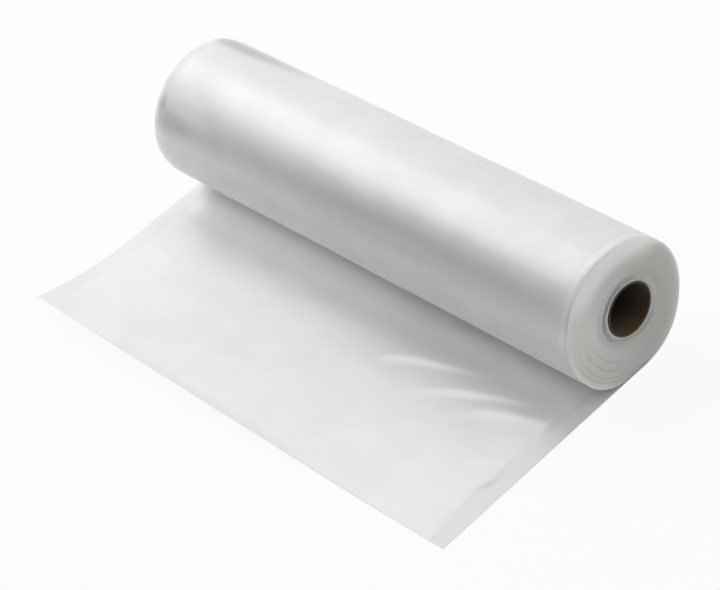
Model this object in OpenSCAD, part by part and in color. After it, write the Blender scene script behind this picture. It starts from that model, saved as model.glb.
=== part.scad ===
// Roll of tubular film for vacuum sealing, with its free end laid flat in front of it.
// Millimetres. The origin is the centre of the core tube's bore, +X runs along the roll,
// the free end of the film points to -Y, and +Z is up.

/* [Core tube] */
// Bore of the cardboard core
core_bore_d = 24; // [16:0.5:40]
// Wall of the cardboard core
core_wall = 0.9; // [0.6:0.1:3]
// How far each end of the core lies inside the ends of the film
core_recess = 0.6; // [0:0.1:5]
// Gap between the core and the innermost turn
core_fit = 0.05; // [0.02:0.01:0.2]

/* [Wound roll] */
// Width of the film, which is the length of the roll
film_w = 280; // [200:1:400]
// Diameter of the wound roll, without its slack
roll_d = 69; // [56:0.5:90]
// How far the loose outer turns have slipped towards the free end
slack_y = 4; // [0:0.1:5]
// How far the loose outer turns stand up from the core
slack_z = 1.5; // [0:0.1:2]
// Width of the flat that the roll rests on
flat_w = 9.6; // [4:0.2:14]
// Radius of the sagging turns on each side of the flat
sag_r = 27; // [24:0.5:28]

/* [End faces] */
// Bundles of turns that can be told apart on an end face
bundle_count = 16; // [6:1:20]
// Thickness of the innermost turns, which stand out as a lip round the core
lip_t = 1.9; // [1:0.1:3]
// How far the lip stands back from the outermost turns
lip_recess = 0.4; // [0.2:0.1:1]
// Width of the groove round the lip
groove_w = 1.3; // [0.8:0.1:3]
// Depth of the groove, measured from the outermost turns
groove_depth = 1.8; // [1.4:0.1:3]
// Mean distance by which the bundles stand back from the outermost turns
bundle_back = 0.45; // [0.2:0.05:0.6]
// Rounding of the outermost turns at the rim
rim_round = 1.2; // [0.4:0.1:2]

/* [Free end] */
// Reach of the free end in front of the bore's centre
tail_reach = 127.8; // [110:0.1:200]
// Thickness of the two webs lying on each other
web_t = 0.6; // [0.4:0.05:1]
// Width of the welded band along each side
weld_w = 9; // [5:0.5:14]
// Thickness of a welded band
weld_t = 0.4; // [0.3:0.05:0.8]
// Width of the slope between a welded band and the loose webs
weld_slope = 1.2; // [0.6:0.1:3]
// Height to which the far front corner has curled up
curl_h = 9; // [0:0.5:20]
// Length of the side edge that curls up with that corner
curl_len = 58; // [20:1:70]
// Share of the cut edge that lifts with that corner
curl_share = 0.82; // [0.3:0.01:1]

/* [Wrinkles] */
// Height of the largest wrinkle in the upper web
wrinkle_h = 2.6; // [0:0.1:5]
// Half the width of the largest wrinkle
wrinkle_w = 5; // [3:0.5:9]

/* [Hidden] */
$fn = 96;

half_w = film_w / 2;
roll_r = roll_d / 2;
core_r = core_bore_d / 2 + core_wall;
film_bore_r = core_r + core_fit;
lip_r = film_bore_r + lip_t;
groove_r = lip_r + groove_w;
floor_z = slack_z - roll_r;
flat_y = -slack_y - flat_w / 2;
weld_x = half_w - weld_w;

// Overlap that makes neighbouring forms of the film one solid
bite = 0.3;
// The rim's rounding is made of this many narrow steps, like single turns
rim_steps = 3;
// The slack of the turns grows with the radius by this power
slack_power = 1.5;
// The bundles get thinner outwards by this power
bundle_power = 0.85;
// Angle from one bundle to the next that makes their ends uneven
bundle_phase = 137;

// Grid of the free end: narrow cells where the wrinkles are, wide ones elsewhere
wide_cols = 11;
narrow_cols = 26;
front_rows = 7;
wrinkle_rows = 26;
// The wrinkled zone: its two limits from the cut edge, and its far limit from the near weld
zone_front = 24;
zone_back = 90;
zone_far = 112;

// Wrinkles: [start x from the near weld, start y from the cut edge, end x, end y,
//            bow of the crest, share of the full height, share of the full width]
WRINKLES = [
    [103, 65, 42, 86, 3, 0.75, 0.9],
    [69, 60, 1, 87, 5, 1, 1],
    [55, 48, 1, 80, 9, 0.7, 0.85],
    [20, 42, 1, 53, 1, 0.4, 0.8],
    [10, 27, 1, 38, 1.5, 0.5, 0.8]
];

// Radius of bundle i, where 0 is the groove and bundle_count is the outermost turn
function bundle_r(i) = groove_r + (roll_r - groove_r) * pow(i / bundle_count, bundle_power);

// Share of the slack that the turns at radius r have taken
function slack_share(r) = pow(max(0, r - lip_r) / (roll_r - lip_r), slack_power);

// How far the end of bundle i stands back from the outermost turns
function bundle_recess(i) = bundle_back * (1 + 0.7 * sin(bundle_phase * i));

// Places the centre of the turns at radius r, with X along the roll
module turn_axis(r) {
    translate([0, -slack_y * slack_share(r), slack_z * slack_share(r)])
        rotate([90, 0, 90])
            children();
}

// A straight cylinder centred on the roll's middle
module long_disc(r, half_len) {
    linear_extrude(height = 2 * half_len, center = true)
        circle(r = r);
}

// The quadrilateral between the tangent points of two circles, on one side of their centres
module tangent_fill(c1, r1, c2, r2, side) {
    gap = c2 - c1;
    dist = norm(gap);
    swing = side * acos((r1 - r2) / dist);
    heading = atan2(gap[1], gap[0]) + swing;
    out = [cos(heading), sin(heading)];
    polygon([c1, c1 + r1 * out, c2 + r2 * out, c2]);
}

// Section of the roll: a round top, slack sides and a flat to rest on, drawn inward by inset
module roll_section(inset = 0) {
    top = [-slack_y, slack_z];
    sag_left = [-slack_y - flat_w / 2, floor_z + sag_r];
    sag_right = [-slack_y + flat_w / 2, floor_z + sag_r];
    translate(top)
        circle(r = roll_r - inset);
    translate(sag_left)
        circle(r = sag_r - inset);
    translate(sag_right)
        circle(r = sag_r - inset);
    translate([sag_left[0], floor_z + inset])
        square([flat_w, sag_r]);
    tangent_fill(top, roll_r - inset, sag_left, sag_r - inset, 1);
    tangent_fill(top, roll_r - inset, sag_right, sag_r - inset, -1);
}

// The section drawn out to a length that is centred on the roll's middle
module roll_slice(inset, half_len) {
    rotate([90, 0, 90])
        linear_extrude(height = 2 * half_len, center = true)
            roll_section(inset);
}

// The body of the roll, with the steps of the rounded rim
module turns_body() {
    roll_slice(0, half_w - rim_round);
    for (i = [1 : rim_steps]) {
        rise = rim_round * sin(90 * i / rim_steps);
        inset = rim_round * (1 - cos(90 * i / rim_steps));
        roll_slice(inset, half_w - rim_round + rise);
    }
}

// The ring-shaped space in front of one bundle, cut into both ends of the body
module bundle_cut(r_in, r_out, recess) {
    difference() {
        turn_axis(r_out)
            long_disc(r_out, half_w + 1);
        turn_axis(r_in)
            long_disc(r_in, half_w + 2);
        rotate([90, 0, 90])
            long_disc(roll_d, half_w - recess);
    }
}

// The wound turns, with the lip, the groove and the bundles on their end faces
module wound_turns() {
    difference() {
        turns_body();
        bundle_cut(film_bore_r - bite, lip_r, lip_recess);
        bundle_cut(lip_r, groove_r, groove_depth);
        for (i = [1 : bundle_count - 1])
            bundle_cut(bundle_r(i - 1), bundle_r(i), bundle_recess(i));
        rotate([90, 0, 90])
            long_disc(film_bore_r, half_w + 1);
    }
}

// Even steps from a to b, without the first one
function steps(a, b, n) = [for (i = [1 : n]) a + (b - a) * i / n];

// A smooth hump that is 1 at t = 0 and dies out at t = 1
function hump(t) = abs(t) < 1 ? pow(1 - t * t, 2) : 0;

// Height of one wrinkle over the point (x, y)
function wrinkle(w, x, y) =
    let (
        a = [weld_x - w[0], -tail_reach + w[1]],
        b = [weld_x - w[2], -tail_reach + w[3]],
        len = norm(b - a),
        along = (b - a) / len,
        s = ([x, y] - a) * along / len,
        d = ([x, y] - a) * [-along[1], along[0]],
        crest = w[4] * 4 * s * (1 - s),
        rise = s > 0 && s < 1 ? sqrt(sin(180 * s)) : 0
    )
    wrinkle_h * w[5] * rise * hump((d - crest) / (wrinkle_w * w[6]));

// Height of all the wrinkles over the point (x, y)
function wrinkles(x, y) = max([for (w = WRINKLES) wrinkle(w, x, y)]);

// Height by which the curled corner lifts the film at (x, y)
function curl(x, y) =
    let (
        u = (film_w * curl_share - half_w - x) / (film_w * curl_share),
        v = (-tail_reach + curl_len - y) / curl_len
    )
    u > 0 && v > 0 ? curl_h * u * v * v : 0;

// Thickness of the film at x: welded bands at the sides, loose webs between them
function thickness(x) =
    let (inside = (weld_x - abs(x)) / weld_slope)
    weld_t + (web_t - weld_t) * min(1, max(0, inside));

// The free end as one sheet, whose upper web is wrinkled
module tail_sheet() {
    zone_x = weld_x - zone_far;
    loose_x = weld_x - weld_slope;
    xs = concat(
        [-half_w, -weld_x, -loose_x],
        steps(-loose_x, zone_x, wide_cols),
        steps(zone_x, loose_x, narrow_cols),
        [weld_x, half_w]
    );
    ys = concat(
        [-tail_reach],
        steps(-tail_reach, -tail_reach + zone_front, front_rows),
        steps(-tail_reach + zone_front, -tail_reach + zone_back, wrinkle_rows),
        [flat_y + bite]
    );
    nx = len(xs);
    ny = len(ys);
    low = [for (y = ys) for (x = xs) [x, y, floor_z + curl(x, y)]];
    high = [for (p = low) p + [0, 0, thickness(p[0]) + wrinkles(p[0], p[1])]];
    n = nx * ny;
    cells = [for (j = [0 : ny - 2]) for (i = [0 : nx - 2]) j * nx + i];
    top_faces = [for (c = cells) each [
        [n + c, n + c + nx, n + c + nx + 1],
        [n + c, n + c + nx + 1, n + c + 1]
    ]];
    bottom_faces = [for (c = cells) each [
        [c, c + nx + 1, c + nx],
        [c, c + 1, c + nx + 1]
    ]];
    front_faces = [for (i = [0 : nx - 2]) each [
        [i, n + i, n + i + 1],
        [i, n + i + 1, i + 1]
    ]];
    back = (ny - 1) * nx;
    back_faces = [for (i = [back : back + nx - 2]) each [
        [i, n + i + 1, n + i],
        [i, i + 1, n + i + 1]
    ]];
    far_faces = [for (j = [0 : ny - 2]) each [
        [j * nx, n + (j + 1) * nx, n + j * nx],
        [j * nx, (j + 1) * nx, n + (j + 1) * nx]
    ]];
    side = nx - 1;
    near_faces = [for (j = [0 : ny - 2]) each [
        [j * nx + side, n + j * nx + side, n + (j + 1) * nx + side],
        [j * nx + side, n + (j + 1) * nx + side, (j + 1) * nx + side]
    ]];
    polyhedron(
        points = concat(low, high),
        faces = concat(top_faces, bottom_faces, front_faces, back_faces, far_faces, near_faces),
        convexity = 6
    );
}

// The cardboard tube that the film is wound on
module core_tube() {
    half_len = half_w - core_recess;
    color("saddlebrown")
        rotate([90, 0, 90])
            difference() {
                long_disc(core_r, half_len);
                long_disc(core_bore_d / 2, half_len + 1);
            }
}

// The film: the wound turns and the free end, in one piece
module film() {
    color("gainsboro")
        union() {
            wound_turns();
            tail_sheet();
        }
}

core_tube();
film();
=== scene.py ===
import math

import bmesh
import bpy
import numpy as np
from mathutils import Matrix, Vector


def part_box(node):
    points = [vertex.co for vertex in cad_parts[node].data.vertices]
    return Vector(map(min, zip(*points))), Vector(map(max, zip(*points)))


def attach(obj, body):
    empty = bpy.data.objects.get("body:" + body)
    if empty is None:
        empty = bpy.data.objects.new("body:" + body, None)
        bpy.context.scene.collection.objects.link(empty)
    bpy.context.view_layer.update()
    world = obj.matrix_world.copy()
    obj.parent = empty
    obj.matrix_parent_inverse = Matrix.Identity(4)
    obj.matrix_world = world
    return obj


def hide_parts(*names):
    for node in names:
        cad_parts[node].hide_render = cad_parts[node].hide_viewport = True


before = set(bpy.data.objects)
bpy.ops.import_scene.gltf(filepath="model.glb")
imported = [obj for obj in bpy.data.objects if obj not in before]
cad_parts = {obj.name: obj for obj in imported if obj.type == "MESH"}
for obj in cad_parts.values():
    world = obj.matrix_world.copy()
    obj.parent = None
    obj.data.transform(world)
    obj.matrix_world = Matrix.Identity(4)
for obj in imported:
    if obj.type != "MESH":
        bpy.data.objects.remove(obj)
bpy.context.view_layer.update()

# Lengths below are in millimetres; this one turns them into the frame's metres
MM = 0.001
# Points that lie closer together than this are one point
MERGE_DISTANCE = 0.004

film_low, film_high = (np.array(corner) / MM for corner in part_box("film"))
core_high = np.array(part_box("core_tube")[1]) / MM
FLOOR = film_low[2]
HALF_WIDTH = film_high[0]
CUT_EDGE = film_low[1]
CORE_RADIUS = core_high[1]
CORE_END = core_high[0]

# The camera of the photograph: place in metres, angles in degrees, lens in millimetres
CAMERA_PLACE = Vector((0.97244, -0.60770, 0.92989))
CAMERA_AZIMUTH = 59.83
CAMERA_ELEVATION = 40.33
CAMERA_ROLL = -19.88
SENSOR_WIDTH = 36.0
LENS = 161.47

# The studio's soft boxes: name, azimuth and elevation in degrees, distance and size in metres,
# and power in watts; azimuth is counted from +Y toward -X
LIGHTS = (
    ("key_wide", 63.2, 35.6, 1.4, (2.2, 1.8), 12.6),
    ("key_heart", 100.4, 46.8, 1.3, (1.1, 0.9), 4.8),
    ("side", -42, 34, 1.6, (0.8, 0.8), 4.3),
    ("fill", -120, 16, 1.8, (1.4, 0.5), 0.5),
    ("low", 108, 9, 0.6, (0.3, 0.12), 0.14),
)
# The sky's strength at the horizon and from this height up
HORIZON_LIGHT = 0.06
ZENITH_LIGHT = 0.4
ZENITH_HEIGHT = 0.9
FLOOR_SIZE = 8
FLOOR_WHITE = 0.9
FLOOR_ROUGHNESS = 0.9
FLOOR_GLOW = 0.91

# The wound film's section: circles whose rounded hull is the outer turn, as y, z and radius
SECTION = ((-4.0, 1.5, 34.5), (-8.8, -6.0, 27.0), (0.8, -6.0, 27.0))
SECTION_SOFTNESS = 0.35
ROLL_RADIUS = 34.5
SLACK_POWER = 1.5
FILM_FIT = 0.05
LIP_RADIUS = 14.85
GROOVE_RADIUS = 16.4
# The lip lies deepest opposite the first direction, and the groove toward the second
LIP_HIGH = math.radians(115)
LIP_BACK = 0.3
LIP_TILT = 0.9
GROOVE_LOW = math.radians(165)
GROOVE_BACK = 0.15
GROOVE_TILT = 2.2
BORE_DEPTH = 6
# The innermost turns stand off the core on one side of the mouth
MOUTH_FLARE = 0.7
MOUTH_ANGLE = math.radians(140)
MOUTH_SPREAD = math.radians(80)
DISH_RADIUS = 21.5
DISH_DEPTH = 0.7
RIM_IN = 5.0
RIM_BACK = 0.15
RIM_POWER = 1.8
RIM_DENT = 0.15
# The upper turns lie a little further back: middle and half of that part, and how far
UPPER_ANGLE = math.radians(92)
UPPER_SPREAD = math.radians(70)
UPPER_BACK = {1: 1.2, -1: 0.3}
TURNS = 27
# Segments round the roll: from and to, in degrees, and how many
SEGMENTS = ((0, 54, 34), (54, 70, 40), (70, 190, 78), (190, 250, 60), (250, 360, 60))
OUTER_ROWS = 100
TURN_GAP = 0.06
TURN_STEP = 0.1
TURN_SWAY = 0.15
# Rows over one turn: share of the pitch, share of the turn's gap and of a wide gap
TURN_PROFILE = ((0, 1, 1), (0.28, 0.22, 0.35), (0.5, 0, 0), (0.74, 0.2, 0.15))
# The outermost turn's thickness and the rows over it
OUTER_TURN = 0.7
OUTER_SHARES = (0.4, 0.68, 0.85, 0.95, 1)
# On the lower front side the turns stand apart: where, how far round and how deep
LOOSE_ANGLE = math.radians(213)
LOOSE_SPREAD = math.radians(52)
LOOSE_TURN_GAP = 0.16
LOOSE_GAP = 0.55
WIDE_GAPS = (0.4, 0.6, 0.77, 0.9)

# Soft pulls in the outer turn: two ends as x and degrees round, half width in degrees, height
PULLS = (
    ((88, 152), (139, 186), 3.5, 0.20),
    ((104, 166), (139, 196), 3.0, 0.16),
    ((60, 176), (139, 172), 4.0, 0.12),
    ((-132, 166), (-40, 158), 4.0, 0.16),
    ((-128, 176), (-62, 170), 3.5, 0.14),
    ((-180, 155), (-92, 155), 19.0, 1.1),
    ((-180, 67), (-88, 54), 8.0, -0.35),
    ((-60, 128), (200, 126), 28.0, 0.7),
    ((-112, 61.5), (150, 63), 1.6, -0.3),
)
# Soft waves of the outer turn: height, cycles along the roll, cycles round it and phase
OUTER_WAVES = ((0.06, 1.3, 2, 0.4), (0.04, 2.1, -3, 2.2), (0.03, 3.4, 5, 4.1))
OUTER_SINK = 0.12
# The welded sides sink a little, and a faint seam runs inside each of them
WELD_SINK = 0.05
WELD_SLOPE = 0.6
SEAM_PLACE = 3.6
SEAM_HALF_WIDTH = 1.3
SEAM_DEPTH = 0.1
CALM_END = 4

# The free end
WEB = 0.05
WEB_GAP = 0.06
WELD_WIDTH = 9.0
TAIL_START = 0.8
TAIL_COLUMNS = 210
TAIL_ROWS = 100
EDGE_BAND = 0.15
LIFT = 0.01
# Air between the webs, the slope beside a weld and the part of the air left at the cut edge
AIR = 0.16
AIR_LENGTH = 128
AIR_WAVES = ((0.06, 1.2, 0.7, 0.3), (0.045, -2.1, 1.6, 2.0), (0.03, 3.3, 2.4, 4.4))
MOUTH_SLOPE = 2.2
CUT_AIR = 0.35
CUT_SLOPE = 6
# Beside the roll the web rises a little, more so at the far end: where it starts to rise,
# over what length, and how high along the roll and at the far end
RISE_START = -43.0
RISE_LENGTH = 13.0
RISE_HEIGHT = 1.2
RISE_FAR_HEIGHT = 2.2
RISE_FAR_END = -90
RISE_NEAR_FADE = (0, 40)
RISE_FAR_FADE = (3, 18)
RISE_CLEARANCE = 0.5
CURL_HEIGHT = 9.0
CURL_LENGTH = 58.0
CURL_SHARE = 0.82
# Folds of the upper web: places along the crest, height, how far the web falls in front
# and behind, and over what shares of its length a fold rises and dies away
FOLDS = (
    (((27, -63), (46, -53.5), (70, -47), (104, -40)), 0.46, 5.0, 14.0, 0.16, 0.5),
    (((58, -70), (72, -61), (100, -50), (132, -42)), 0.46, 5.0, 14.0, 0.22, 0.4),
    (((78, -76), (96, -61), (114, -54), (132, -48.5)), 0.5, 8.0, 9.0, 0.5, 0.03),
    (((110, -85), (121, -80), (132.5, -77)), 0.16, 3.0, 6.0, 0.5, 0.15),
    (((119, -104), (125, -96), (132.5, -90)), 0.3, 1.8, 7.0, 0.4, 0.15),
)

# The core's board
BOARD_WALL = 0.9
BOARD_LEAD = 62.0
BOARD_SEAM = 0.22
BOARD_COLUMNS = 96
BOARD_ROWS = 186
BOARD_PLIES = 3
# The plies' edges: rounding at the bore and the outside, rounding of a ply, and groove between
BOARD_ROUND = 0.06
PLY_ROUND = 0.07
PLY_GROOVE = 0.12
BOARD_SOLE = 0.25

# Film: how strongly it mirrors, and the tints its white varies between
FILM_IOR = 1.87
FILM_SPECULAR = 0.9
FILM_LIGHT = (1.03, 1.03, 1.02)
FILM_DARK = (0.97, 0.97, 0.955)
# Size of its bands and clouds along x, y and z, and how far the bands change its roughness
FILM_BANDS = (12, 300, 300)
FILM_CLOUDS = (30, 20, 20)
GLOSS_RANGE = 0.02
# The noises' values that count as lowest and highest
NOISE_RANGE = (0.3, 0.7)
WOUND_WHITE = 0.825
WOUND_ROUGHNESS = 0.39
WOUND_DEPTH = 10
# Painted light: the roll grows paler from the upper of these heights down to the lower
PALE_BELOW = (-22, -6)
# The end faces are greyer than the outer turn, partly their own tone and partly painted shade,
# and
# greyer toward the back as painted shade: how far along the roll they start, the point their
# turns are centred on, and the y over which they change
FACE_START = (137.2, 139)
FACE_CENTRE = (0, -3, 1)
FACE_TURN = (-30, 12)
FACE_DARK = (0.505, 0.515, 0.475)
FACE_LIGHT = (0.735, 0.745, 0.705)
# The white of painted light, on the lit rim, the near end's top, the underside and beside the
# roll
PAINTED_LIGHT_WHITE = (0.98, 0.98, 0.97)
RIM_REACH = (19, 29)
# Where painted shade darkens the lip round the bore, and how dark
LIP_REACH = (15.5, 18.5)
LIP_PAINTED_SHADE = 0.82
# The rim is pale where it reaches far enough in the light's direction
LIT_ANGLE = math.radians(92)
LIT_REACH = (14, 29)
# The outer turn's near end has painted light too, above the roll's axis and short of its back
NEAR_RIM = (133.5, 137.5)
NEAR_RIM_HEIGHT = (0, 20)
NEAR_RIM_BACK = (10, 22)
# A soft oval fades between these shares of its size
SPOT_RANGE = (0.2, 1.0)
# Painted shade in soft ovals on the turns, and one painted light: middle, turn, size and shade
WOUND_PAINTED_SHADE_AND_LIGHT = (
    ((25, -34, 18), 0, (180, 15, 13), 0.84),
    ((-126, -20, 31), 0, (38, 26, 15), 0.91),
    ((-122, 15.2, 29.5), 4, (56, 8.5, 20), 0.68),
    ((-138.5, -14, 30), 0, (7, 32, 17), 0.78),
    ((-136, -31, 23), 0, (4.5, 9, 14), 0.6),
    ((-128, -34, 19), 0, (26, 9, 11), 0.82),
    ((-120, -26, 27), 0, (24, 9, 9), 1.08),
)
# Painted shade on the web: beside the roll, between the folds, at the far corner and along the
# cut edge: middle, turn, size and shade
WEB_PAINTED_SHADES = (
    ((70, -46, -33), 0, (120, 12, 20), 0.88),
    ((45, -60, -33), 2, (50, 14, 20), 0.92),
    ((-128, -50, -30), 0, (26, 26, 30), 0.93),
    ((95, -122, -33), 0, (80, 22, 20), 0.95),
    ((20, -128, -33), 0, (170, 6, 30), 0.93),
)
WEB_WHITE = 0.86
WEB_ROUGHNESS = 0.34
# The welds look greyer than the rest; the near one more than the far one, as painted shade
WELD_EDGE = (130.4, 131.7)
WELD_SHADE = 0.9
FAR_WELD_SHADE = 0.97
# Beside the roll the web's far half has painted light, short of the weld: over which y, from
# which x on, and where it fades
BESIDE_ROLL = (-47, -34)
BESIDE_START = (-136, -118)
BESIDE_FADE = (-60, 60)
# Board: its two browns, the mottle's size along x, y and z, and the fibres' colour, size, the
# noise's values over which they show, and how strongly
BOARD_BROWN = (0.118, 0.066, 0.03)
BOARD_PALE = (0.165, 0.096, 0.044)
MOTTLE_SIZE = (12, 6, 6)
FIBRE_COLOR = (0.26, 0.16, 0.075)
FIBRE_SIZE = (2.2, 0.5, 0.5)
FIBRE_RANGE = (0.55, 0.8)
FIBRE_SHARE = 0.5
# Painted shade: the tube's colour inside, which gives way to the browns toward its ends and less
# so above
BOARD_PAINTED_SHADE = (0.1, 0.085, 0.075)
BOARD_MOUTH = (126, 139)
BOARD_LOW = (-12, -3)
BOARD_UPPER_SHARE = 0.2


def ease(low, high, value):
    """0 below low, 1 above high and a smooth climb between"""
    share = np.clip((value - low) / (high - low), 0, 1)
    return share * share * (3 - 2 * share)


def hump(value):
    """1 at 0, falling smoothly to 0 at -1 and at 1"""
    return np.clip(1 - value * value, 0, None) ** 2


def ripple(u, v, waves):
    """Sum of slanting waves, each a height, cycles along u, cycles along v and a phase"""
    total = 0
    for height, along_u, along_v, phase in waves:
        total = total + height * np.sin(2 * math.pi * (along_u * u + along_v * v) + phase)
    return total


def turned(angle, centre):
    """Angle from centre, between minus and plus half a turn"""
    return (angle - centre + math.pi) % (2 * math.pi) - math.pi


def grid_faces(rows, columns, closed_rows=False, closed_columns=False):
    """Quads over a grid of points numbered row by row"""
    row = np.arange(rows if closed_rows else rows - 1)[:, None]
    column = np.arange(columns if closed_columns else columns - 1)[None, :]
    next_row = (row + 1) % rows
    next_column = (column + 1) % columns
    corners = (
        row * columns + column,
        row * columns + next_column,
        next_row * columns + next_column,
        next_row * columns + column,
    )
    return np.stack(np.broadcast_arrays(*corners), axis=-1).reshape(-1, 4)


def strip_faces(one, other):
    """Quads between two lines of point numbers"""
    return np.stack([one[:-1], one[1:], other[1:], other[:-1]], axis=-1)


def make_piece(name, points, faces, material):
    """One closed smooth mesh from points in millimetres"""
    mesh = bpy.data.meshes.new(name)
    mesh.from_pydata((points * MM).tolist(), [], faces)
    shape = bmesh.new()
    shape.from_mesh(mesh)
    bmesh.ops.remove_doubles(shape, verts=shape.verts, dist=MERGE_DISTANCE * MM)
    bmesh.ops.recalc_face_normals(shape, faces=shape.faces)
    shape.to_mesh(mesh)
    shape.free()
    mesh.shade_smooth()
    mesh.materials.append(material)
    piece = bpy.data.objects.new(name, mesh)
    bpy.context.scene.collection.objects.link(piece)
    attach(piece, "root")
    return piece


def outer_reach(angle):
    """How far the outer turn reaches in the angle's direction, and that reach's slope"""
    reaches = []
    slopes = []
    for y, z, radius in SECTION:
        reaches.append(y * np.cos(angle) + z * np.sin(angle) + radius)
        slopes.append(z * np.cos(angle) - y * np.sin(angle))
    reaches = np.array(reaches)
    slopes = np.array(slopes)
    top = reaches.max(axis=0)
    weights = np.exp((reaches - top) / SECTION_SOFTNESS)
    total = weights.sum(axis=0)
    return top + SECTION_SOFTNESS * np.log(total), (weights * slopes).sum(axis=0) / total


def turn_points(radius, angle):
    """y and z of the turn that would be a circle of this radius if it were wound tight"""
    depth = np.clip((radius - LIP_RADIUS) / (ROLL_RADIUS - LIP_RADIUS), 0, 1)
    slack = depth**SLACK_POWER
    reach, slope = outer_reach(angle)
    reach = radius + slack * (reach - ROLL_RADIUS)
    slope = slack * slope
    y = reach * np.cos(angle) - slope * np.sin(angle)
    z = reach * np.sin(angle) + slope * np.cos(angle)
    return y, np.maximum(z, FLOOR + LIFT)


def lip_face(angle):
    """The innermost turns and the groove round them: radius and recess, from the bore out"""
    bore = CORE_RADIUS + FILM_FIT
    low_side = 0.5 - 0.5 * np.cos(turned(angle, LIP_HIGH))
    front_side = 0.5 + 0.5 * np.cos(turned(angle, GROOVE_LOW))
    lip = LIP_BACK + LIP_TILT * low_side**2
    groove = lip + GROOVE_BACK + GROOVE_TILT * front_side**2
    flare = MOUTH_FLARE * hump(turned(angle, MOUTH_ANGLE) / MOUTH_SPREAD)
    return [
        (bore, BORE_DEPTH),
        (bore + 0.3 * flare, BORE_DEPTH / 2),
        (bore + flare, lip + 0.6),
        (bore + flare + 0.12, lip + 0.2),
        (bore + 0.8 * flare + 0.4, lip + 0.04),
        (bore + 0.5 * flare + 0.8, lip),
        (bore + 0.2 * flare + 1.2, lip + 0.08),
        (bore + 1.6, lip + 0.3),
        (LIP_RADIUS, 0.35 * lip + 0.65 * groove),
        (LIP_RADIUS + 0.35, groove),
        (LIP_RADIUS + 0.8, groove),
        (LIP_RADIUS + 1.15, 0.6 * groove + 0.4),
    ]


def turn_rows():
    """Rows over the turns of an end face: radius, gap share, wide gap share and turn"""
    outermost = ROLL_RADIUS - OUTER_TURN
    pitch = (outermost - GROOVE_RADIUS) / TURNS
    wide = [round(share * TURNS) for share in WIDE_GAPS]
    rows = []
    for turn in range(TURNS):
        start = GROOVE_RADIUS + turn * pitch
        for share, gap, wide_gap in TURN_PROFILE:
            apart = wide_gap if turn in wide else 0
            rows.append((start + share * pitch, gap, apart, turn))
    for share in OUTER_SHARES:
        rows.append((outermost + share * OUTER_TURN, 0, 0, TURNS))
    return rows


def end_face(angle, end):
    """Points of one end face, a row for each radius; end is 1 near and -1 far"""
    points = []
    for radius, recess in lip_face(angle):
        y, z = turn_points(radius, angle)
        x = end * (HALF_WIDTH - recess * np.ones(len(angle)))
        points.append(np.stack([x, y, z], axis=-1))
    loose = hump(turned(angle, LOOSE_ANGLE) / LOOSE_SPREAD)
    back = RIM_BACK + UPPER_BACK[end] * hump(turned(angle, UPPER_ANGLE) / UPPER_SPREAD)
    for radius, gap, apart, turn in turn_rows():
        inward = np.clip((radius - (ROLL_RADIUS - RIM_IN)) / RIM_IN, 0, 1)
        rim = back * (1 - max(0, 1 - inward**RIM_POWER) ** (1 / RIM_POWER))
        dish = DISH_DEPTH * (1 - ease(GROOVE_RADIUS, DISH_RADIUS, radius))
        fade = 1 - ease(0.5, 1, inward)
        step = 0.5 + 0.5 * math.sin(2.4 * turn + end) * math.sin(0.9 * turn)
        gaps = gap * (TURN_GAP + LOOSE_TURN_GAP * loose) + apart * LOOSE_GAP * loose
        sway = (1 + np.sin(2 * angle + 0.21 * turn + end)) ** 2
        recess = rim + dish + gaps + fade * (TURN_STEP * step + TURN_SWAY * sway)
        y, z = turn_points(radius - RIM_DENT * inward**2, angle)
        points.append(np.stack([end * (HALF_WIDTH - recess), y, z], axis=-1))
    return np.array(points)


def pulls(x, angle):
    """Height of the soft pulls that slant across the outer turn"""
    total = 0
    degrees_round = np.degrees(angle)
    for start, end, width, height in PULLS:
        share = np.clip((x - start[0]) / (end[0] - start[0]), 0, 1)
        centre = start[1] + share * (end[1] - start[1])
        size = np.sin(math.pi * share) ** 0.7
        total = total + height * size * hump((degrees_round - centre) / width)
    return total


def surface_dent(x, angle):
    """How far the outer turn sinks at a place, from its looseness and its welded sides"""
    soft = ripple(x / (2 * HALF_WIDTH), angle / (2 * math.pi), OUTER_WAVES)
    from_end = HALF_WIDTH - np.abs(x)
    weld = 1 - ease(WELD_WIDTH - WELD_SLOPE, WELD_WIDTH + WELD_SLOPE, from_end)
    seam = hump((from_end - SEAM_PLACE) / SEAM_HALF_WIDTH)
    calm = ease(0, CALM_END, from_end)
    return OUTER_SINK + calm * (soft - pulls(x, angle)) + WELD_SINK * weld + SEAM_DEPTH * seam


def make_film_turns(material):
    """The wound turns as one solid, open along the bore"""
    spans = [np.linspace(start, end, count, endpoint=False) for start, end, count in SEGMENTS]
    angle = np.radians(np.concatenate(spans))
    near = end_face(angle, 1)
    far = end_face(angle, -1)[::-1]
    outer = []
    for share in np.linspace(1, -1, OUTER_ROWS)[1:-1]:
        x = share * near[-1, :, 0]
        y, z = turn_points(ROLL_RADIUS - surface_dent(x, angle), angle)
        outer.append(np.stack([x, y, z], axis=-1))
    points = np.concatenate([near, np.array(outer), far])
    faces = grid_faces(len(points), len(angle), closed_rows=True, closed_columns=True)
    return make_piece("film_turns", points.reshape(-1, 3), faces.tolist(), material)


def curl(x, y):
    """Height of the far corner, which lifts off the floor"""
    reach = 2 * HALF_WIDTH * CURL_SHARE
    across = np.clip((reach - HALF_WIDTH - x) / reach, 0, 1)
    along = np.clip((CUT_EDGE + CURL_LENGTH - y) / CURL_LENGTH, 0, 1)
    return CURL_HEIGHT * across * along**2


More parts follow.
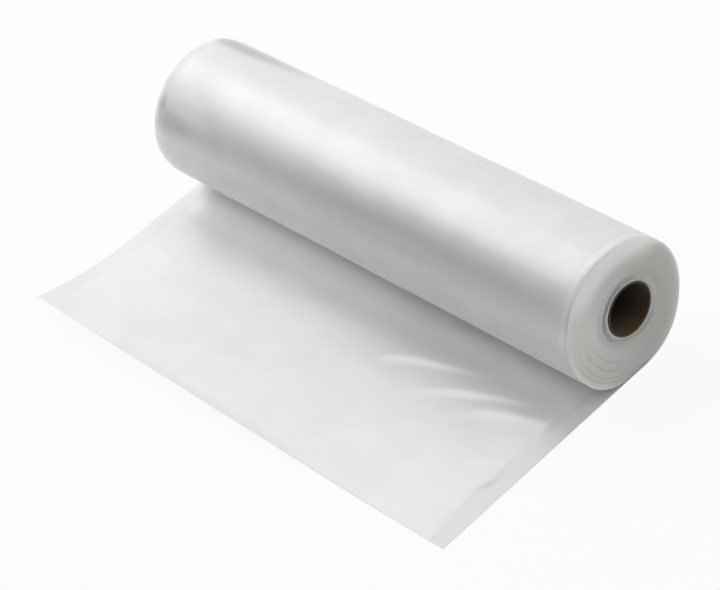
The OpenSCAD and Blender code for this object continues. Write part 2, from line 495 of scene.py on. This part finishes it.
def rise(x, y):
    """Height of the web beside the roll, kept clear of the roll above it"""
    far = 1 - ease(-HALF_WIDTH, RISE_FAR_END, x)
    share = np.clip((y - RISE_START) / RISE_LENGTH, 0, 1)
    height = (RISE_HEIGHT + (RISE_FAR_HEIGHT - RISE_HEIGHT) * far) * share**2
    height = height * ease(*RISE_NEAR_FADE, HALF_WIDTH - x) * ease(*RISE_FAR_FADE, HALF_WIDTH + x)
    centre_y, centre_z, radius = SECTION[1]
    under = centre_z - np.sqrt(np.clip(radius**2 - (y - centre_y) ** 2, 0, None)) - FLOOR
    space = np.where(y < centre_y, under, 0) - 2 * WEB - WEB_GAP - RISE_CLEARANCE
    return np.minimum(height, np.clip(space, 0, None))


def folds(x, y):
    """Height of the upper web's folds: a sharp crest, steep in front and gentle behind"""
    total = 0
    for crest, height, front, back, rise, fall in FOLDS:
        crest = np.array(crest, float)
        curve = np.polynomial.Polynomial.fit(crest[:, 0], crest[:, 1], len(crest) - 1)
        offset = (y - curve(x)) / np.sqrt(1 + curve.deriv()(x) ** 2)
        share = (x - crest[0, 0]) / (crest[-1, 0] - crest[0, 0])
        size = height * ease(0, rise, share) * (1 - ease(1 - fall, 1, share))
        ahead = np.clip(1 + offset / front, 0, 1) ** 2
        total = np.maximum(total, size * np.where(offset > 0, hump(offset / back), ahead))
    return total


def billow(x, y):
    """The air between the two webs"""
    return AIR + ripple(x / (2 * HALF_WIDTH), y / AIR_LENGTH, AIR_WAVES)


def mouth(x, y):
    """0 at the welds and 1 where the two webs lie loose; the near weld's edge is scalloped"""
    scallop = 0.5 * np.sin(0.35 * y + 1) + 0.35 * np.sin(0.13 * y)
    return ease(0, MOUTH_SLOPE, HALF_WIDTH - WELD_WIDTH + scallop - np.abs(x))


def make_film_free_end(material):
    """The free end: two thin webs welded along both sides and open at the cut edge"""
    inner = HALF_WIDTH - EDGE_BAND
    x = np.concatenate([[-HALF_WIDTH], np.linspace(-inner, inner, TAIL_COLUMNS), [HALF_WIDTH]])
    y = np.append(np.linspace(TAIL_START, CUT_EDGE + EDGE_BAND, TAIL_ROWS), CUT_EDGE)
    x, y = np.broadcast_arrays(x[None, :], y[:, None])
    ground = FLOOR + LIFT + curl(x, y) + rise(x, y)
    apart = (WEB_GAP + billow(x, y) + folds(x, y)) * mouth(x, y)
    apart = apart * (CUT_AIR + (1 - CUT_AIR) * ease(0, CUT_SLOPE, y - CUT_EDGE))
    top = np.stack([x, y, ground + 2 * WEB + apart], axis=-1)
    bottom = np.stack([x, y, ground], axis=-1)

    # The hollow between the webs closes at the welds and under the roll
    loose = np.flatnonzero(np.abs(x[0]) <= HALF_WIDTH - WELD_WIDTH - 1)
    first, last = loose[0], loose[-1]
    roof = top[:, first : last + 1] - (0, 0, WEB)
    bed = bottom[:, first : last + 1] + (0, 0, WEB)
    for edge in (np.s_[:, 0], np.s_[:, -1], np.s_[0]):
        middle = (roof[edge] + bed[edge]) / 2
        roof[edge] = middle
        bed[edge] = middle

    rows, wide = x.shape
    narrow = last - first + 1
    sheets = (top, bottom, roof, bed)
    starts = np.cumsum([0] + [sheet.shape[0] * sheet.shape[1] for sheet in sheets])
    faces = [
        grid_faces(rows, columns) + start
        for columns, start in zip((wide, wide, narrow, narrow), starts)
    ]
    top_rows = starts[0] + np.arange(rows * wide).reshape(rows, wide)
    bottom_rows = starts[1] + np.arange(rows * wide).reshape(rows, wide)
    roof_cut = starts[2] + (rows - 1) * narrow + np.arange(narrow)
    bed_cut = starts[3] + (rows - 1) * narrow + np.arange(narrow)
    inside = np.s_[first : last + 1]
    faces.append(strip_faces(top_rows[0], bottom_rows[0]))
    for column in (0, -1):
        faces.append(strip_faces(top_rows[:, column], bottom_rows[:, column]))
    for weld in (np.s_[: first + 1], np.s_[last:]):
        faces.append(strip_faces(top_rows[-1, weld], bottom_rows[-1, weld]))
    faces.append(strip_faces(top_rows[-1, inside], roof_cut))
    faces.append(strip_faces(bottom_rows[-1, inside], bed_cut))
    corners = []
    for column, end in ((first, 0), (last, -1)):
        corners.append([top_rows[-1, column], bottom_rows[-1, column], roof_cut[end]])
    points = np.concatenate([sheet.reshape(-1, 3) for sheet in sheets])
    faces = np.concatenate(faces).tolist() + corners
    return make_piece("film_free_end", points, faces, material)


def make_core_board(material):
    """The board tube: slanting seams of its wound plies, and the plies' edges at both ends"""
    column = np.arange(BOARD_COLUMNS)
    bore = CORE_RADIUS - BOARD_WALL
    rows = []

    def ring(x, radius, seam=0):
        angle = 2 * math.pi * (column / BOARD_COLUMNS + x / BOARD_LEAD)
        radii = radius + np.where(column == 0, seam, 0)
        ring_x = np.full(BOARD_COLUMNS, x)
        rows.append(np.stack([ring_x, radii * np.cos(angle), radii * np.sin(angle)], axis=-1))

    # Depth below the end and radius of each row over the end's edge, from the bore out
    edge = [(BOARD_ROUND, bore + BOARD_ROUND / 2)]
    for ply in range(BOARD_PLIES):
        inner = bore + BOARD_WALL * ply / BOARD_PLIES
        outer = bore + BOARD_WALL * (ply + 1) / BOARD_PLIES
        edge.append((0, inner + PLY_ROUND))
        edge.append((0, outer - PLY_ROUND))
        if ply < BOARD_PLIES - 1:
            edge.append((PLY_GROOVE, outer))
    edge.append((BOARD_ROUND, CORE_RADIUS - BOARD_ROUND / 2))

    lengths = np.linspace(-CORE_END + BOARD_SOLE, CORE_END - BOARD_SOLE, BOARD_ROWS)
    for x in lengths:
        ring(x, bore, BOARD_SEAM)
    for depth, radius in edge:
        ring(CORE_END - depth, radius)
    for x in lengths[::-1]:
        ring(x, CORE_RADIUS, -0.5 * BOARD_SEAM)
    for depth, radius in reversed(edge):
        ring(depth - CORE_END, radius)
    points = np.array(rows)
    faces = grid_faces(len(points), BOARD_COLUMNS, closed_rows=True, closed_columns=True)
    return make_piece("core_board", points.reshape(-1, 3), faces.tolist(), material)


class Finish:
    """A node material under construction"""

    def __init__(self, name):
        self.mat = bpy.data.materials.new(name)
        self.mat.use_nodes = True
        self.tree = self.mat.node_tree
        self.shader = self.tree.nodes["Principled BSDF"]
        self.place = self.add("ShaderNodeTexCoord").outputs["Object"]
        self.axis = self.add("ShaderNodeSeparateXYZ", {0: self.place}).outputs

    def add(self, kind, inputs=None, **settings):
        node = self.tree.nodes.new(kind)
        for key, value in settings.items():
            setattr(node, key, value)
        for key, value in (inputs or {}).items():
            if isinstance(value, bpy.types.NodeSocket):
                self.tree.links.new(value, node.inputs[key])
            else:
                node.inputs[key].default_value = value
        return node

    def set(self, **values):
        for key, value in values.items():
            self.shader.inputs[key.replace("_", " ")].default_value = value

    def link(self, output, name):
        self.tree.links.new(output, self.shader.inputs[name])

    def noise(self, stretch, detail=2.0):
        """Noise of features so many millimetres apart along x, y and z"""
        scale = [1 / (length * MM) for length in stretch]
        mapping = self.add("ShaderNodeMapping", {"Vector": self.place, "Scale": scale})
        inputs = {"Vector": mapping.outputs[0], "Scale": 1.0, "Detail": detail}
        return self.add("ShaderNodeTexNoise", inputs).outputs["Fac"]

    def span(self, value, limits, to_low=0.0, to_high=1.0):
        """value from the low to the high limit becomes a smooth climb from to_low to to_high"""
        inputs = {
            "Value": value,
            "From Min": limits[0],
            "From Max": limits[1],
            "To Min": to_low,
            "To Max": to_high,
        }
        node = self.add("ShaderNodeMapRange", inputs, interpolation_type="SMOOTHSTEP")
        return node.outputs["Result"]

    def ramp(self, place, limits, to_low=0.0, to_high=1.0):
        """A smooth climb like span's, over limits in millimetres; place is X, Y, Z or a length"""
        value = self.axis[place] if isinstance(place, str) else place
        return self.span(value, [limit * MM for limit in limits], to_low, to_high)

    def product(self, one, *others):
        for other in others:
            inputs = {0: one, 1: other}
            one = self.add("ShaderNodeMath", inputs, operation="MULTIPLY").outputs[0]
        return one

    def vector(self, operation, one, other=(0, 0, 0), output="Vector"):
        node = self.add("ShaderNodeVectorMath", {0: one, 1: other}, operation=operation)
        return node.outputs[output]

    def scaled(self, color, factor):
        node = self.add("ShaderNodeVectorMath", {0: color, "Scale": factor}, operation="SCALE")
        return node.outputs[0]

    def mix(self, factor, one, other):
        """Colour between one and other"""
        node = self.add("ShaderNodeMix", data_type="RGBA")
        sockets = (node.inputs[0], node.inputs[6], node.inputs[7])
        for socket, value in zip(sockets, (factor, one, other)):
            if isinstance(value, bpy.types.NodeSocket):
                self.tree.links.new(value, socket)
            else:
                socket.default_value = (*value, 1)
        return node.outputs[2]

    def bump(self, height, distance, strength):
        """Small relief of the surface, with its distance in millimetres"""
        inputs = {"Height": height, "Distance": distance * MM, "Strength": strength}
        return self.add("ShaderNodeBump", inputs).outputs["Normal"]

    def spot(self, centre, turn, size):
        """1 in the middle of a soft oval and 0 outside it; turn is about Z, in degrees"""
        inputs = {
            "Vector": self.place,
            "Location": [part * MM for part in centre],
            "Rotation": (0, 0, math.radians(turn)),
            "Scale": [part * MM for part in size],
        }
        mapping = self.add("ShaderNodeMapping", inputs, vector_type="TEXTURE")
        reach = self.vector("LENGTH", mapping.outputs[0], output="Value")
        return self.span(reach, SPOT_RANGE, 1.0, 0.0)

    def shaded(self, color, white, shades):
        """Colour that fades to another white inside soft ovals: painted shade, or painted light
        where that white is paler
        """
        for centre, turn, size, shade in shades:
            spot = self.spot(centre, turn, size)
            color = self.mix(spot, color, [white * shade] * 3)
        return color

    def along(self):
        """Distance from the middle of the roll's length"""
        inputs = {0: self.axis["X"]}
        return self.add("ShaderNodeMath", inputs, operation="ABSOLUTE").outputs[0]


def film_finish(name, white, roughness):
    """Milky glossy film and its colour: faint bands as it was drawn and faint clouds"""
    finish = Finish(name)
    finish.set(IOR=FILM_IOR, Specular_IOR_Level=FILM_SPECULAR)
    finish.bands = finish.noise(FILM_BANDS)
    finish.clouds = finish.noise(FILM_CLOUDS)
    dark = [white * part for part in FILM_DARK]
    light = [white * part for part in FILM_LIGHT]
    color = finish.mix(finish.span(finish.clouds, NOISE_RANGE), dark, light)
    low, high = roughness - GLOSS_RANGE, roughness + GLOSS_RANGE
    finish.link(finish.span(finish.bands, NOISE_RANGE, low, high), "Roughness")
    return finish, color


def end_face_color(finish):
    """Grey turns, greyer toward the back as painted shade, a lip darkened by painted shade and a
    rim with painted light where the light falls on it
    """
    centred = finish.vector("SUBTRACT", finish.place, [part * MM for part in FACE_CENTRE])
    off_axis = finish.vector("MULTIPLY", centred, (0, 1, 1))
    reach = finish.vector("LENGTH", off_axis, output="Value")
    lamp = (0, math.cos(LIT_ANGLE), math.sin(LIT_ANGLE))
    toward = finish.vector("DOT_PRODUCT", finish.place, lamp, output="Value")
    # Painted shade: the face greyer toward the back
    plain = finish.mix(finish.ramp("Y", FACE_TURN), FACE_LIGHT, FACE_DARK)
    # Painted light on the rim where the light falls
    rim = finish.mix(finish.ramp(toward, LIT_REACH), plain, PAINTED_LIGHT_WHITE)
    color = finish.mix(finish.ramp(reach, RIM_REACH), plain, rim)
    # Painted shade on the lip round the bore
    return finish.scaled(color, finish.ramp(reach, LIP_REACH, LIP_PAINTED_SHADE, 1.0))


def make_wound_material():
    """The turns: light passes some way in; the end faces are greyer than the rim, partly as
    painted shade, and painted light and shade lie in the colour
    """
    finish, color = film_finish("film_wound", WOUND_WHITE, WOUND_ROUGHNESS)
    finish.set(
        Subsurface_Weight=1.0,
        Subsurface_Radius=(1, 1, 1),
        Subsurface_Scale=WOUND_DEPTH * MM,
    )
    # Painted light on the near end's upper side
    near_rim = finish.product(
        finish.ramp("X", NEAR_RIM),
        finish.ramp("Z", NEAR_RIM_HEIGHT),
        finish.ramp("Y", NEAR_RIM_BACK, 1.0, 0.0),
    )
    color = finish.mix(near_rim, color, PAINTED_LIGHT_WHITE)
    # Painted light on the roll's underside
    color = finish.mix(finish.ramp("Z", PALE_BELOW, 1.0, 0.0), color, PAINTED_LIGHT_WHITE)
    # End faces: grey turns with painted shade and painted light
    face = finish.ramp(finish.along(), FACE_START)
    color = finish.mix(face, color, end_face_color(finish))
    # Painted shade in soft ovals, and one painted light
    color = finish.shaded(color, WOUND_WHITE, WOUND_PAINTED_SHADE_AND_LIGHT)
    finish.link(color, "Base Color")
    finish.link(finish.bump(finish.bands, distance=0.1, strength=0.25), "Normal")
    return finish.mat


def make_web_material():
    """The free end's two webs, whose welded sides look greyer, the near one more so as painted
    shade; with painted shade in soft ovals and painted light beside the roll
    """
    finish, color = film_finish("film_web", WEB_WHITE, WEB_ROUGHNESS)
    far_edge = (-WELD_EDGE[1], -WELD_EDGE[0])
    # Welds greyer; the near one's extra grey is painted shade
    weld = finish.product(
        finish.ramp("X", WELD_EDGE, 1.0, WELD_SHADE),
        finish.ramp("X", far_edge, FAR_WELD_SHADE, 1.0),
    )
    # Painted light beside the roll
    beside = finish.product(
        finish.ramp("Y", BESIDE_ROLL),
        finish.ramp("X", BESIDE_FADE, 1.0, 0.0),
        finish.ramp("X", BESIDE_START),
    )
    # Painted shade in soft ovals
    color = finish.shaded(color, WEB_WHITE, WEB_PAINTED_SHADES)
    color = finish.mix(beside, color, PAINTED_LIGHT_WHITE)
    finish.link(finish.scaled(color, weld), "Base Color")
    finish.link(finish.bump(finish.clouds, distance=0.4, strength=0.2), "Normal")
    return finish.mat


def make_board_material():
    """Brown board: short fibres, paler flecks and a soft mottle; painted shade darkens the tube
    inside
    """
    finish = Finish("core_board")
    finish.set(Roughness=0.85, Specular_IOR_Level=0.25)
    mottle = finish.noise(MOTTLE_SIZE, detail=3.0)
    fibre = finish.noise(FIBRE_SIZE)
    color = finish.mix(finish.span(mottle, NOISE_RANGE), BOARD_BROWN, BOARD_PALE)
    flecks = finish.span(fibre, FIBRE_RANGE, 0.0, FIBRE_SHARE)
    color = finish.mix(flecks, color, FIBRE_COLOR)
    # Painted shade inside the tube, lighter toward its ends and on its lower wall
    low = finish.ramp("Z", BOARD_LOW, 1.0, BOARD_UPPER_SHARE)
    mouth = finish.ramp(finish.along(), BOARD_MOUTH)
    color = finish.mix(finish.product(mouth, low), BOARD_PAINTED_SHADE, color)
    finish.link(color, "Base Color")
    finish.link(finish.bump(fibre, distance=0.12, strength=0.6), "Normal")
    return finish.mat


def make_camera():
    """The photograph's camera, turned about its own view as the photograph is"""
    az, el, roll = (math.radians(a) for a in (CAMERA_AZIMUTH, CAMERA_ELEVATION, CAMERA_ROLL))
    back = Vector((math.sin(az) * math.cos(el), -math.cos(az) * math.cos(el), math.sin(el)))
    level = Vector((math.cos(az), math.sin(az), 0.0))
    rise = back.cross(level)
    right = math.cos(roll) * level + math.sin(roll) * rise
    up = -math.sin(roll) * level + math.cos(roll) * rise
    data = bpy.data.cameras.new("camera")
    data.sensor_width = SENSOR_WIDTH
    data.lens = LENS
    data.clip_end = 20.0
    camera = bpy.data.objects.new("camera", data)
    turn = Matrix((right, up, back)).transposed().to_4x4()
    camera.matrix_world = Matrix.Translation(CAMERA_PLACE) @ turn
    bpy.context.scene.collection.objects.link(camera)
    bpy.context.scene.camera = camera


def area_light(name, azimuth, elevation, distance, size, power):
    """A soft box that faces the object"""
    az, el = math.radians(azimuth), math.radians(elevation)
    toward = Vector((-math.sin(az) * math.cos(el), math.cos(az) * math.cos(el), math.sin(el)))
    data = bpy.data.lights.new(name, "AREA")
    data.shape = "RECTANGLE"
    data.size, data.size_y = size
    data.energy = power
    light = bpy.data.objects.new(name, data)
    light.location = toward * distance
    light.rotation_euler = toward.to_track_quat("Z", "Y").to_euler()
    bpy.context.scene.collection.objects.link(light)


def make_floor():
    """A plain pale floor that keeps the object's shadow"""
    bpy.ops.mesh.primitive_plane_add(size=FLOOR_SIZE, location=(0, 0, FLOOR * MM))
    floor = bpy.context.object
    floor.name = "floor"
    mat = bpy.data.materials.new("floor_white")
    mat.use_nodes = True
    tree = mat.node_tree
    shader = tree.nodes["Principled BSDF"]
    shader.inputs["Base Color"].default_value = (FLOOR_WHITE, FLOOR_WHITE, FLOOR_WHITE, 1)
    shader.inputs["Roughness"].default_value = FLOOR_ROUGHNESS
    shader.inputs["Specular IOR Level"].default_value = 0.0
    glow = tree.nodes.new("ShaderNodeEmission")
    glow.inputs["Color"].default_value = (1, 1, 1, 1)
    path = tree.nodes.new("ShaderNodeLightPath")
    seen = path.outputs["Is Camera Ray"]
    for kind in ("Is Glossy Ray", "Is Transmission Ray"):
        either = tree.nodes.new("ShaderNodeMath")
        either.operation = "MAXIMUM"
        tree.links.new(seen, either.inputs[0])
        tree.links.new(path.outputs[kind], either.inputs[1])
        seen = either.outputs[0]
    part = tree.nodes.new("ShaderNodeMath")
    part.operation = "MULTIPLY"
    part.inputs[1].default_value = FLOOR_GLOW
    tree.links.new(seen, part.inputs[0])
    mix = tree.nodes.new("ShaderNodeMixShader")
    tree.links.new(part.outputs[0], mix.inputs["Fac"])
    tree.links.new(shader.outputs[0], mix.inputs[1])
    tree.links.new(glow.outputs[0], mix.inputs[2])
    tree.links.new(mix.outputs[0], tree.nodes["Material Output"].inputs["Surface"])
    floor.data.materials.append(mat)


def make_world():
    """Even white light, stronger from above than from the horizon"""
    world = bpy.data.worlds.new("studio")
    world.use_nodes = True
    tree = world.node_tree
    place = tree.nodes.new("ShaderNodeTexCoord")
    split = tree.nodes.new("ShaderNodeSeparateXYZ")
    span = tree.nodes.new("ShaderNodeMapRange")
    span.interpolation_type = "SMOOTHSTEP"
    span.inputs["From Min"].default_value = 0.0
    span.inputs["From Max"].default_value = ZENITH_HEIGHT
    span.inputs["To Min"].default_value = HORIZON_LIGHT
    span.inputs["To Max"].default_value = ZENITH_LIGHT
    ground = tree.nodes["Background"]
    ground.inputs["Color"].default_value = (1, 1, 1, 1)
    tree.links.new(place.outputs["Generated"], split.inputs[0])
    tree.links.new(split.outputs["Z"], span.inputs["Value"])
    tree.links.new(span.outputs["Result"], ground.inputs["Strength"])
    bpy.context.scene.world = world


make_camera()
make_floor()
make_world()
for light in LIGHTS:
    area_light(*light)

film_turns = make_film_turns(make_wound_material())
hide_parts("film")
film_free_end = make_film_free_end(make_web_material())
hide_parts("film")
core_board = make_core_board(make_board_material())
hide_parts("core_tube")

bpy.context.scene.view_settings.view_transform = "Standard"
